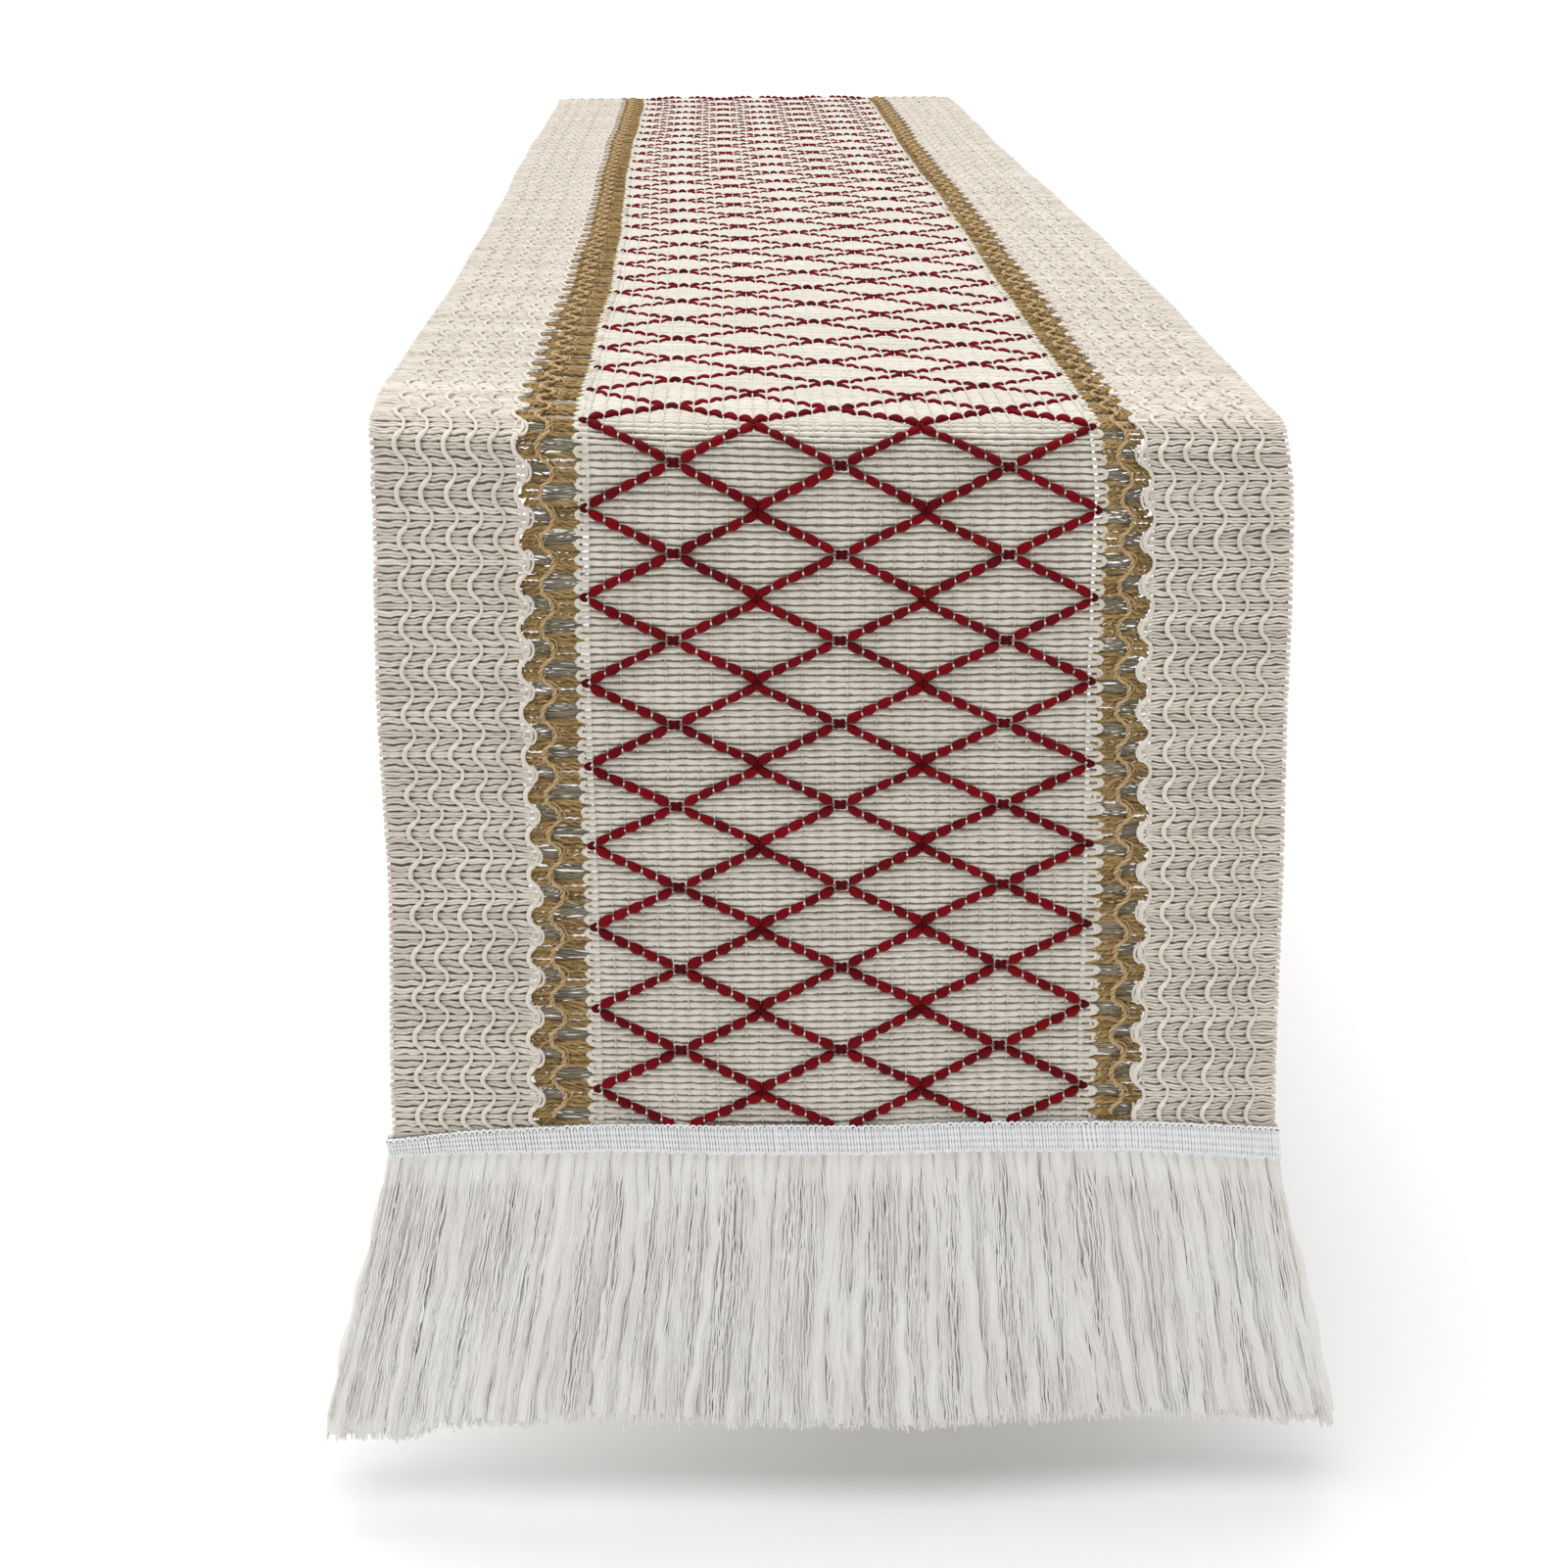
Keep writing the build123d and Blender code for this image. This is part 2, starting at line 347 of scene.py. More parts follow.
def yarn_material(name, dark, light, rough=0.85, sheen=0.25, grain=900.0, bump=0.35, mottling=0.35, fuzz=2500.0, spec=0.25, tint=None):
    """Cotton, jute or cord: a light and a dark tone mixed by strand, by soft mottling and by fine fibre grain."""
    m, nt, b = nodes_of(name)
    N, L = nt.nodes, nt.links
    at = N.new("ShaderNodeAttribute"); at.attribute_name = "tone"
    tc = N.new("ShaderNodeTexCoord")
    n1 = N.new("ShaderNodeTexNoise"); n1.inputs["Scale"].default_value = 60.0; n1.inputs["Detail"].default_value = 3.0
    n2 = N.new("ShaderNodeTexNoise"); n2.inputs["Scale"].default_value = grain; n2.inputs["Detail"].default_value = 4.0; n2.inputs["Roughness"].default_value = 0.65
    n3 = N.new("ShaderNodeTexNoise"); n3.inputs["Scale"].default_value = fuzz; n3.inputs["Detail"].default_value = 2.0
    for n in (n1, n2, n3):
        L.new(tc.outputs["Object"], n.inputs["Vector"])
    a1 = N.new("ShaderNodeMath"); a1.operation = "MULTIPLY_ADD"; a1.inputs[1].default_value = 0.55
    L.new(at.outputs["Fac"], a1.inputs[0])
    s1 = N.new("ShaderNodeMath"); s1.operation = "MULTIPLY"; s1.inputs[1].default_value = mottling
    L.new(n1.outputs["Fac"], s1.inputs[0])
    L.new(s1.outputs[0], a1.inputs[2])
    a2 = N.new("ShaderNodeMath"); a2.operation = "MULTIPLY_ADD"; a2.inputs[1].default_value = 0.6
    L.new(n2.outputs["Fac"], a2.inputs[0])
    L.new(a1.outputs[0], a2.inputs[2])
    ramp = N.new("ShaderNodeValToRGB")
    ramp.color_ramp.elements[0].position = 0.25
    ramp.color_ramp.elements[1].position = 1.0
    ramp.color_ramp.elements[0].color = (*dark, 1)
    ramp.color_ramp.elements[1].color = (*light, 1)
    L.new(a2.outputs[0], ramp.inputs[0])
    col = ramp.outputs[0]
    if tint:
        mx = N.new("ShaderNodeMix"); mx.data_type = "RGBA"
        n4 = N.new("ShaderNodeTexNoise"); n4.inputs["Scale"].default_value = 28.0; n4.inputs["Detail"].default_value = 2.0
        L.new(tc.outputs["Object"], n4.inputs["Vector"])
        r4 = N.new("ShaderNodeValToRGB")
        r4.color_ramp.elements[0].position = 0.42
        r4.color_ramp.elements[1].position = 0.62
        L.new(n4.outputs["Fac"], r4.inputs[0])
        mul = N.new("ShaderNodeMath"); mul.operation = "MULTIPLY"; mul.inputs[1].default_value = tint[1]
        L.new(r4.outputs[0], mul.inputs[0])
        L.new(mul.outputs[0], mx.inputs[0])
        L.new(col, mx.inputs[6])
        mx.inputs[7].default_value = (*tint[0], 1)
        col = mx.outputs[2]
    L.new(col, b.inputs["Base Color"])
    b.inputs["Roughness"].default_value = rough
    b.inputs["Specular IOR Level"].default_value = spec
    b.inputs["Sheen Weight"].default_value = sheen
    b.inputs["Sheen Roughness"].default_value = 0.5
    bp = N.new("ShaderNodeBump"); bp.inputs["Strength"].default_value = bump; bp.inputs["Distance"].default_value = 0.0004
    ad = N.new("ShaderNodeMath"); ad.operation = "ADD"
    L.new(n2.outputs["Fac"], ad.inputs[0]); L.new(n3.outputs["Fac"], ad.inputs[1])
    h = ad.outputs[0]
    L.new(h, bp.inputs["Height"])
    L.new(bp.outputs[0], b.inputs["Normal"])
    return m


def srgb(r, g, b):
    def c(v):
        v /= 255.0
        return v / 12.92 if v <= 0.04045 else ((v + 0.055) / 1.055) ** 2.4
    return (c(r), c(g), c(b))


M_RIB = yarn_material("ribbed_cotton_yarn", srgb(196, 188, 173), srgb(246, 241, 230), mottling=0.3)
M_WARP = yarn_material("warp_stitch_thread", srgb(216, 210, 199), srgb(243, 239, 231), mottling=0.2, sheen=0.2)
M_SIDE = yarn_material("side_cotton_yarn", srgb(196, 186, 172), srgb(247, 239, 227), mottling=0.3)
M_CHAIN = yarn_material("raised_chain_yarn", srgb(200, 190, 176), srgb(244, 236, 224), mottling=0.25)
M_SELV = yarn_material("selvedge_loop_yarn", srgb(202, 194, 180), srgb(240, 234, 223), mottling=0.25)
# ground threads: tones darker than the yarns, painted shade for the gaps between the rows
M_GROUND_SHADE = yarn_material("ground_threads_painted_shade", srgb(146, 136, 118), srgb(194, 184, 166), mottling=0.3, bump=0.6)
M_JUTE = yarn_material("jute_yarn", srgb(84, 62, 27), srgb(192, 160, 105), rough=0.9, sheen=0.12, grain=1500.0, bump=0.8, mottling=0.5, fuzz=4200.0)
# loose fibres over the jute holes: grey-brown tones, painted shade of the space behind the holes
M_HOLE_SHADE_FIBRES = yarn_material("loose_jute_fibres_painted_shade", srgb(138, 126, 104), srgb(190, 180, 160), rough=0.9, sheen=0.1, mottling=0.3)
M_JUTE_L = yarn_material("jute_chain_yarn", srgb(138, 106, 60), srgb(218, 187, 138), rough=0.88, sheen=0.15, grain=1500.0, bump=0.7, mottling=0.35, fuzz=4200.0)
M_RED = yarn_material("red_lattice_cord", srgb(50, 0, 6), srgb(126, 0, 14), rough=0.6, sheen=0.0, grain=1400.0, bump=0.45, mottling=0.3, spec=0.10)
M_TAPE = yarn_material("header_tape_yarn", srgb(240, 241, 245), srgb(255, 255, 255), mottling=0.1, rough=0.7, sheen=0.1)
M_THREAD = yarn_material("sewing_thread", srgb(246, 246, 249), srgb(255, 255, 255), mottling=0.1, rough=0.6, sheen=0.1)
M_FRINGE = yarn_material("fringe_yarn", srgb(240, 236, 231), srgb(255, 255, 254), mottling=0.2, rough=0.8, sheen=0.2, grain=1600.0, tint=(srgb(240, 230, 219), 0.30))

# ---------------------------------------------------------------- rows and zones
ROWS = np.arange(-448, 112)          # row k lies at U_V + (k + 0.5) * ROW
ROW_U = U_V + (ROWS + 0.5) * ROW
keep = (ROW_U > -(U_TAPE + 8.0)) & (ROW_U < U_TAPE + 8.0)
# an even number of rows, in pairs that turn into each other at the edges
lo = ROWS[keep][0]
if lo % 2:
    lo += 1
hi = ROWS[keep][-1]
if (hi - lo) % 2 == 0:
    hi -= 1
ROWS = np.arange(lo, hi + 1)
ROW_U = U_V + (ROWS + 0.5) * ROW
EDGE = 384.0                          # where the folding stretch of cloth begins


def zones():
    yield "mid", -EDGE, EDGE
    yield "front", EDGE, U_TAPE + 9.0
    yield "rear", -U_TAPE - 9.0, -EDGE


NODE = {
    "mid": lambda *n: ["top_" + k for k in n],
    "front": lambda *n: ["front_drop_" + k for k in n],
    "rear": lambda *n: ["rear_drop_" + k for k in n],
}


def jit(shape, s):
    return rng.normal(0, s, shape)


RIB_H = 2.15
RIB_R = 1.03


def centre_panel(zone, u0, u1):
    """Pairs of weft rows, each pair one closed hairpin loop of plump yarn."""
    pairs = ROWS[:-1:2]
    uc = U_V + (pairs + 1.0) * ROW
    sel = (uc >= u0) & (uc < u1)
    uc = uc[sel]
    if not len(uc):
        return
    fine = 4 if zone != "mid" else 3
    xs = np.arange(-0.5, 33.5 + 1e-6, 1.0 / fine) * WALE + WALE0
    nx = len(xs)
    w = (xs - WALE0) / WALE
    pinch = 0.5 + 0.5 * np.cos(2 * math.pi * w)      # 1 on a wale
    M = 2 * nx + 6
    P = np.zeros((len(uc), M, 3))
    R = np.zeros((len(uc), M))
    xr = np.concatenate([xs, [xs[-1] + 1.2, xs[-1] + 1.9, xs[-1] + 1.2], xs[::-1], [xs[0] - 1.2, xs[0] - 1.9, xs[0] - 1.2]])
    off = np.concatenate([np.full(nx, -0.5), [-0.42, 0.0, 0.42], np.full(nx, 0.5), [0.42, 0.0, -0.42]]) * ROW
    pp = np.concatenate([pinch, [0, 0, 0], pinch[::-1], [0, 0, 0]])
    P[:, :, 0] = xr[None] + jit((len(uc), M), 0.06)
    P[:, :, 1] = uc[:, None] + off[None] + jit((len(uc), M), 0.07)
    P[:, :, 2] = RIB_H - 0.22 * pp[None] + jit((len(uc), M), 0.05)
    drift = 0.16 * np.sin(xr[None] / 17.0 + rng.random((len(uc), 1)) * 6.28)
    alt = 0.13 * np.cos(math.pi * (xr[None] - WALE0) / WALE + math.pi * np.arange(len(uc))[:, None])
    P[:, :, 1] += drift + alt
    R[:] = RIB_R * (1 - 0.15 * pp[None]) * (1 + jit((len(uc), 1), 0.03))
    R[:, nx : nx + 3] = 0.85
    R[:, -3:] = 0.85
    P = np.concatenate([P, P[:, :1]], 1)
    R = np.concatenate([R, R[:, :1]], 1)
    b = Batch()
    step = max(1, LIMIT // (P.shape[1] * 6 * 2) - 1)
    for i in range(0, len(P), min(step, 24)):
        b.add(P[i : i + 24], R[i : i + 24], 6 if zone == "front" else 5, flat=0.92, tone=0.45 + 0.25 * rng.random(len(P[i : i + 24])))
    finish_batch("centre_ribs_" + zone, b, M_RIB, zone, NODE[zone]("centre_panel"))

    # the selvedge yarn that shows white at the turns
    s = Batch()
    for side in (-1, 1):
        x0 = xs[0] if side < 0 else xs[-1]
        a = np.linspace(-1, 1, 9) * math.pi / 2
        ex = np.concatenate([[1.5, 0.7], -0.95 * np.cos(a), [0.7, 1.5]])
        eu = np.concatenate([[-0.50, -0.52], 0.54 * np.sin(a), [0.52, 0.50]]) * ROW
        eh = np.concatenate([[RIB_H + 0.2, RIB_H + 0.9], np.full(9, RIB_H + 0.55), [RIB_H + 0.9, RIB_H + 0.2]])
        Q = np.zeros((len(uc), 13, 3))
        Q[:, :, 0] = x0 - side * ex[None]
        Q[:, :, 1] = uc[:, None] + eu[None] * 1.02 + jit((len(uc), 1), 0.15)
        Q[:, :, 2] = eh[None] + jit((len(uc), 1), 0.08)
        Q[:, 4:9, 0] += side * jit((len(uc), 1), 0.25)
        s.add(Q, 0.38, 5, taper=True)
    finish_batch("centre_selvedge_" + zone, s, M_SELV, zone)


def warp_threads(zone, u0, u1):
    """Thin white stitches that tie each row down at every wale, sinking into the groove between rows."""
    rows = ROW_U[(ROW_U >= u0) & (ROW_U < u1)]
    if not len(rows):
        return
    n = len(rows)
    full = zone == "front"
    pick = [0, 1, 2, 3, 4] if full else [0, 2, 4]
    k = len(pick)
    fr = np.array([-0.32, -0.19, 0.0, 0.19, 0.32])[pick]
    uu = (rows[:, None] + fr[None] * ROW).reshape(-1)
    top = RIB_H + RIB_R * 0.90
    hh = np.tile(np.array([top - 1.4, top - 0.12, top + 0.18, top - 0.12, top - 1.4])[pick], n)
    b = Batch()
    P = np.zeros((34, len(uu), 3))
    for w in range(34):
        x = WALE0 + w * WALE
        P[w, :, 0] = x + np.tile(np.array([0.05, -0.10, 0.0, 0.10, -0.05])[pick], n) + np.repeat(jit(n, 0.09), k)
        P[w, :, 1] = uu
        P[w, :, 2] = hh + np.repeat(jit(n, 0.07), k)
    R = np.tile(np.array([0.12, 0.30, 0.38, 0.30, 0.12])[pick], n)[None] * (1 + np.repeat(jit((34, n), 0.10), k, axis=1))
    for i in range(0, 34, 4):
        b.add(P[i : i + 4], R[i : i + 4], 4, tone=0.5 + 0.5 * rng.random(len(P[i : i + 4])))
    finish_batch("warp_stitches_" + zone, b, M_WARP, zone)


def cord_paths(u0, u1):
    """Centre points of the beads' ends for six cords: (wale, row) sequences."""
    spans = [(0, 5), (6, 11), (11, 16), (17, 22), (22, 27), (28, 33)]
    out = []
    for k, (a, c) in enumerate(spans):
        seq = []
        d0 = int(math.floor((u0 - U_V) / DIAMOND)) - 1
        d1 = int(math.ceil((u1 - U_V) / DIAMOND)) + 1
        for d in range(d0, d1 + 1):
            for r in range(12):
                if k % 2 == 0:
                    w = a + r if r <= 5 else a + 11 - r
                else:
                    w = c - r if r <= 5 else c - 11 + r
                u = U_V + d * DIAMOND + (r + 0.5) * ROW
                seq.append((w, u, r))
        out.append((k, a, c, seq))
    return out


def cords(zone, u0, u1):
    """Plump beads of red cord between the wales, pinched where a stitch ties them down."""
    b = Batch()
    top = RIB_H + RIB_R * 0.92
    tt = np.array([0, 0.05, 0.16, 0.32, 0.5, 0.68, 0.84, 0.95, 1.0])
    beads, rad = [], []
    bits, brad, ties = [], [], []
    for k, a, c, seq in cord_paths(u0, u1):
        for (w0, ua, r0), (w1, ub, r1) in zip(seq[:-1], seq[1:]):
            um = (ua + ub) / 2
            if not (u0 <= um < u1) or um > U_TAPE + 2.0 or um < -U_TAPE - 0.5:
                continue
            if w0 != w1:
                xa, xb = WALE0 + w0 * WALE, WALE0 + w1 * WALE
                t = -0.03 + tt * 1.06
                x = xa + (xb - xa) * t + rng.normal(0, 0.06)
                # each bead leans more steeply than the line it makes
                u = ua + (ub - ua) * (-0.16 + 1.32 * t) + rng.normal(0, 0.08)
                bulge = np.sin(math.pi * tt) ** 0.92
                low = 0.46 * (1 - smooth(395, 425, np.abs(u)))
                h = top - 0.35 + (0.60 - low) * bulge - 0.6 * low
                beads.append(np.stack([x, u, h], -1))
                rad.append((0.46 + 1.28 * bulge) * (1 + rng.normal(0, 0.05)) * (1 - 0.5 * low))
                if r0 not in (0, 6):
                    ties.append((xa, ua))
            else:
                # the small turn that shows beyond the outermost wale
                out = -1 if (w0 == a) else 1
                xx = WALE0 + w0 * WALE
                if w0 in (0, 33):
                    far, rr = (2.0 if w0 == 0 else 1.5), 1.0
                elif w0 in (11, 22):
                    far, rr = 0.60, 1.25
                else:
                    far, rr = 2.25, 1.30
                t = np.linspace(0, 1, 9)
                s_ = np.sin(math.pi * t)
                x = xx + out * (0.15 + far * s_**0.8)
                u = ua + (ub - ua) * (t * 1.1 - 0.05)
                h = top - 0.35 + 0.35 * s_
                bits.append(np.stack([x, u, h], -1))
                brad.append(0.36 + (rr - 0.36) * s_**0.6)
    beads, rad = np.array(beads), np.array(rad)
    for i in range(0, len(beads), 300):
        b.add(beads[i : i + 300], rad[i : i + 300], 8 if zone == "front" else 6, flat=0.92, taper=True, tone=0.3 + 0.7 * rng.random(len(beads[i : i + 300])))
    if len(bits):
        # the turns get the cord's darkest tones: painted shade where they dip below the beads
        b.add(np.array(bits), np.array(brad), 6, flat=0.9, taper=True, tone=rng.random(len(bits)) * 0.15)
    finish_batch("lattice_cords_" + zone, b, M_RED, zone, NODE[zone]("diamond_cords"))
    # the white stitch over each pinch
    d = Batch()
    ties = np.array(ties)
    ties = ties[(ties[:, 1] < U_TAPE + 1.5) & (ties[:, 1] > -U_TAPE - 0.5)]
    f5 = np.array([-0.50, -0.25, 0.0, 0.25, 0.50])
    Q = np.zeros((len(ties), 5, 3))
    Q[:, :, 0] = ties[:, :1] + jit((len(ties), 1), 0.10)
    Q[:, :, 1] = ties[:, 1:] + f5[None]
    Q[:, :, 2] = top + np.array([-0.25, 0.40, 0.60, 0.40, -0.25])[None] - 0.30 * (1 - smooth(395, 425, np.abs(ties[:, 1:])))
    d.add(Q, np.array([0.22, 0.40, 0.44, 0.40, 0.22]), 6, tone=0.9)
    finish_batch("cord_ties_" + zone, d, M_WARP, zone)


CHAINS_L = [-139.9 + i * 7.73 for i in range(6)]
CHAINS_R = [101.5 + i * 7.72 for i in range(6)]


def chain_wave(u, sharp=1.7):
    return -np.tanh(sharp * np.cos(2 * math.pi * (u - CHAIN_U) / PERIOD)) / math.tanh(sharp)


def chains(zone, u0, u1):
    """Raised wavy chains of the side bands, and the oval loops that the one beside each jute band makes."""
    b = Batch()
    uu = np.arange(u0, u1 + 0.01, PERIOD / 18)
    uu = uu[np.abs(uu) < U_TAPE + 7.5]
    ph0 = 2 * math.pi * (uu - CHAIN_U) / PERIOD
    for name, xs in (("l", CHAINS_L), ("r", CHAINS_R)):
        for i, x in enumerate(xs):
            ph = rng.random() * 6.28
            sl = 0.45 * np.sin(uu / 13.0 + ph) + 0.25 * np.sin(uu / 5.1 + ph * 2)
            amp = 1.75 * (1 + 0.10 * np.sin(uu / 31.0 + ph))
            X = x + amp * chain_wave(uu + sl, 1.15) + 0.35 * np.sin(uu / 27.0 + ph)
            c = np.cos(ph0 + 2 * math.pi * sl / PERIOD)     # 1 furthest left
            H = 3.15 + 0.52 * c + 0.08 * np.sin(2 * math.pi * uu / ROW) - 0.40 * (1 - smooth(390, 425, np.abs(uu)))
            joint = np.exp(-((((ph0 + 2 * math.pi * sl / PERIOD + 1.35) / (2 * math.pi) + 0.5) % 1 - 0.5) / 0.045) ** 2)
            R = 0.74 + 0.12 * c + 0.18 * joint
            # each joint's lump also gets a lighter tone: a painted highlight
            b.add(np.stack([X, uu, H + 0.35 * joint], -1), R, 7 if zone == "front" else 5, flat=0.85, tone=0.35 + 0.5 * rng.random() + 0.3 * joint[None])
    finish_batch("side_chains_" + zone, b, M_CHAIN, zone, NODE[zone]("side_chains_left", "side_chains_right"))
    s = Batch()
    ovals = []
    for x, sg in ((CHAINS_L[-1], 1), (CHAINS_R[0], -1)):
        k0 = int(math.floor((u0 - CHAIN_U) / PERIOD)) - 1
        k1 = int(math.ceil((u1 - CHAIN_U) / PERIOD)) + 1
        for k in range(k0, k1 + 1):
            uc = CHAIN_U + (k + (0.5 if sg > 0 else 0.0)) * PERIOD + rng.normal(0, 0.3)
            if not (u0 <= uc < u1) or abs(uc) > U_TAPE - 2:
                continue
            a = np.linspace(0.2, 2 * math.pi + 0.5, 14)
            w_, l_ = 1.75 + rng.normal(0, 0.12), 2.9 + rng.normal(0, 0.2)
            ovals.append(np.stack([x + sg * (1.2 - w_ * np.cos(a)), uc + l_ * np.sin(a), 3.4 + 0.5 * np.cos(a * 0.5)], -1))
    if ovals:
        s.add(np.array(ovals), 0.48, 6, taper=True, tone=0.4 + 0.5 * rng.random(len(ovals)))
    finish_batch("inner_edge_loops_" + zone, s, M_SELV, zone)


def side_weft(zone, u0, u1):
    """Hairpins of soft yarn, one a row, that loop round the outer edge and pinch together under each chain."""
    rows = ROW_U[(ROW_U >= u0) & (ROW_U < u1)]
    if not len(rows):
        return
    for nm, (xa, xb), xs, out in (("left", X_SIDE_L, CHAINS_L, -1), ("right", X_SIDE_R, CHAINS_R, 1)):
        b = Batch()
        outer = xa + 0.3 if out < 0 else xb - 0.3
        inner = (CHAINS_L[-1] + 0.2) if out < 0 else (CHAINS_R[0] - 0.2)
        cx = sorted(xs, key=lambda v: abs(v - inner))
        st = [inner]
        prev = cx[0]
        for c in cx[1:]:
            st += [prev + (c - prev) * f for f in (0.22, 0.42, 0.62, 0.82, 1.0)]
            prev = c
        st += [prev + (outer - prev) * f for f in (0.2, 0.4, 0.6, 0.8, 0.92)]
        st = np.array(st)
        n = len(st)
        R0 = len(rows)
        M = 2 * n + 3
        turn = outer + jit(R0, 0.08)
        ph = 2 * math.pi * (rows - CHAIN_U) / PERIOD
        cc = np.array(xs)[None, :] + 1.75 * chain_wave(rows, 1.15)[:, None]
        xin = np.broadcast_to(st, (R0, n)).copy()
        xin[:, :-2] += 1.75 * chain_wave(rows, 1.15)[:, None]
        d = np.abs(xin[:, :, None] - cc[:, None, :]).min(-1)
        nr = np.exp(-((d / 1.4) ** 2))
        slope = jit((R0, n), 0.10).cumsum(1) * 0.40
        slope -= slope.mean(1, keepdims=True)
        # strands fan towards the middle of each bend of the chain to their right
        fan = -0.42 * np.sin(ph)[:, None] * np.sin(2 * math.pi * (xin - xs[0]) / 7.63)
        def one(sgn):
            sep = (0.50 - 0.10 * nr) * (1 + jit((R0, n), 0.14))
            hb = 2.45 - 0.35 * nr + jit((R0, n), 0.14) + 0.25 * np.sin(math.pi * np.clip(d / 3.8, 0, 1))
            return rows[:, None] + sgn * sep + slope + fan, hb
        Ua, Ha = one(-1)
        Ub, Hb = one(1)
        X = np.zeros((R0, M)); U = np.zeros((R0, M)); H = np.zeros((R0, M)); RR = np.full((R0, M), 0.54)
        X[:, :n], U[:, :n], H[:, :n] = xin, Ua, Ha
        X[:, n + 3 :], U[:, n + 3 :], H[:, n + 3 :] = xin[:, ::-1], Ub[:, ::-1], Hb[:, ::-1]
        for j, (f, g) in enumerate(((0.80, -0.50), (1.0, 0.0), (0.80, 0.50))):
            X[:, n + j] = xin[:, n - 1] + (turn - xin[:, n - 1]) * f
            U[:, n + j] = rows + g + slope[:, -1]
            H[:, n + j] = 2.6 + jit(R0, 0.1)
        RR = RR * (1 + jit((R0, 1), 0.05)) * (1 - 0.16 * np.concatenate([nr, np.zeros((R0, 3)), nr[:, ::-1]], 1))
        P = np.stack([X, U, H], -1)
        for i in range(0, R0, 40):
            b.add(P[i : i + 40], RR[i : i + 40], 5 if zone == "front" else 4, tone=0.25 + 0.6 * rng.random(len(P[i : i + 40])))
        finish_batch("side_weft_%s_%s" % (nm, zone), b, M_SIDE, zone, NODE[zone]("side_band_" + nm))


JUTE_MID = {"l": -93.9, "r": 93.9}
JUTE_EDGE = {"l": (-101.2, -82.4), "r": (84.6, 101.2)}


